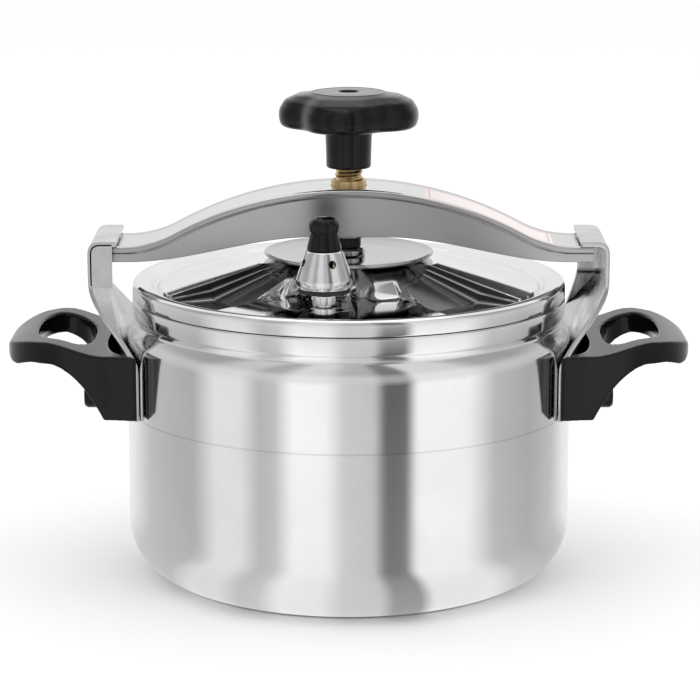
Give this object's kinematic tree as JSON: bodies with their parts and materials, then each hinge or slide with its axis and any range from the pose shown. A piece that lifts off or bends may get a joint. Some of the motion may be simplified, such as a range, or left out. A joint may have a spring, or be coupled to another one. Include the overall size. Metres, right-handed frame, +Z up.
{
  "type": "stovetop pressure cooker",
  "caption": "Round aluminium pressure cooker with a clamp bow that locks under two ears, a screw knob pressing the lid, a weighted steam valve and two loop handles.",
  "frame": {"origin": "centre of the flat base, on the surface it stands on", "axes": "+X along the bow and both handles, -Y towards the side with the working valve, +Z up"},
  "size_m": [0.3374, 0.22, 0.2405],
  "materials": {
    "pot_aluminium": "mirror polished, faint horizontal brushing low on the wall",
    "lid_aluminium": "polished, satin in the pressed channels",
    "bow_steel": "polished top, satin side flanges",
    "ear_steel": "polished, slightly blotchy",
    "fixings": "plain steel",
    "chrome": "bright",
    "brass": "machined",
    "bakelite": "glossy black moulding",
    "rubber": "matt"
  },
  "bodies": {
    "cooker": {"ear_left": "ear_steel", "ear_right": "ear_steel", "ear_rivet_left_front": "fixings", "ear_rivet_left_rear": "fixings", "ear_rivet_right_front": "fixings", "ear_rivet_right_rear": "fixings", "handle_left": "bakelite", "handle_right": "bakelite", "handle_screw_left_front": "bakelite", "handle_screw_left_rear": "bakelite", "handle_screw_right_front": "bakelite", "handle_screw_right_rear": "bakelite", "handle_washer_left_front": "fixings", "handle_washer_left_rear": "fixings", "handle_washer_right_front": "fixings", "handle_washer_right_rear": "fixings", "pot_body": "pot_aluminium"},
    "lid": {"lid": "lid_aluminium", "gasket": "rubber", "pressure_dish": "fixings", "dish_rivet": "fixings", "valve_stem": "chrome", "valve_washer": "rubber", "valve_nut": "fixings", "valve_screen": "fixings", "safety_body": "brass", "safety_nut": "fixings"},
    "bow": {"bow": "bow_steel", "bow_bush": "brass", "bush_washer": "fixings"},
    "foot": {"foot_pad": "rubber", "foot_clip": "fixings"},
    "screw": {"spindle": "brass", "knob": "bakelite", "knob_screw": "fixings", "knob_washer": "fixings"},
    "valve": {"valve_bell": "chrome", "valve_ring": "rubber", "valve_weight": "brass", "valve_cap": "bakelite"},
    "plug": {"safety_plug": "rubber"}
  },
  "joints": [
    {"name": "bow_turn", "type": "hinge", "parent": "cooker", "child": "bow", "pos_m": [0, 0, 0.165], "axis": [0, 0, 1], "range_deg": [-55, 0]},
    {"name": "pad_travel", "type": "slide", "parent": "bow", "child": "foot", "axis": [0, 0, 1], "range_m": [0, 0.0091]},
    {"name": "knob_turn", "type": "hinge", "parent": "foot", "child": "screw", "pos_m": [0, 0, 0.2], "axis": [0, 0, 1], "range_deg": [0, 1080]},
    {"name": "lid_lift", "type": "slide", "parent": "cooker", "child": "lid", "axis": [0, 0, 1], "range_m": [0, 0.005]},
    {"name": "valve_lift", "type": "slide", "parent": "lid", "child": "valve", "axis": [0, 0, 1], "range_m": [0, 0.03]},
    {"name": "safety_pop", "type": "slide", "parent": "lid", "child": "plug", "axis": [0, 0, 1], "range_m": [0, 0.003], "stiffness_N_per_m": 400}
  ],
  "couplings": [
    {"joint": "knob_turn", "follows": "lid_lift", "rad_per_m": 3769.9},
    {"joint": "pad_travel", "follows": "lid_lift", "ratio": 1.8}
  ]
}
